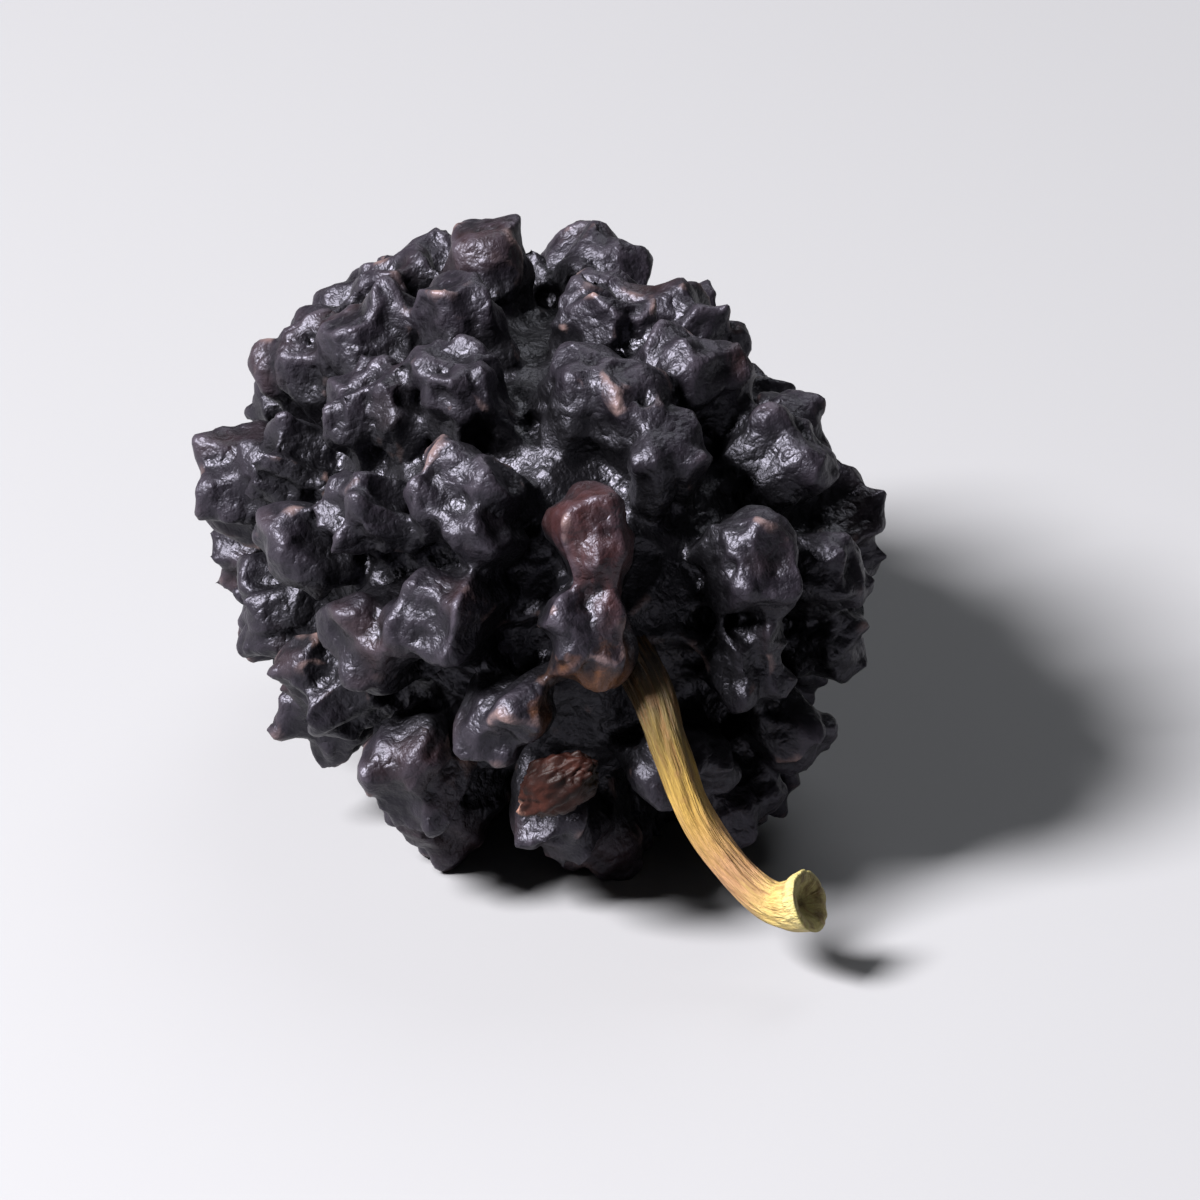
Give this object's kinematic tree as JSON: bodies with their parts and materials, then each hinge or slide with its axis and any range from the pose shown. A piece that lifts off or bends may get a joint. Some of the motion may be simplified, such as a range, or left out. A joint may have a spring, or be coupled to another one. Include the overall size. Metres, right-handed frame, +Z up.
{
  "type": "dried mulberry",
  "caption": "Dried black mulberry lying on its side: wrinkled drupelets grown together round a core, a bent straw-yellow stalk, and a seed showing in a split.",
  "frame": {"origin": "on the surface that the fruit lies on, under the middle of its bounding box with the stalk", "axes": "+X along the fruit from its tip to its stalk end, +Z up from the surface that it lies on"},
  "size_m": [0.0223, 0.0146, 0.0124],
  "materials": {
    "fruit_skin": "blue-black dried skin, wrinkled, satin sheen",
    "stalk_straw": "straw yellow, furrowed, dull",
    "seed_coat": "dark red-brown, smooth, satin"
  },
  "bodies": {
    "root": {"fruit": "fruit_skin", "stalk": "stalk_straw", "seed": "seed_coat"}
  },
  "joints": []
}
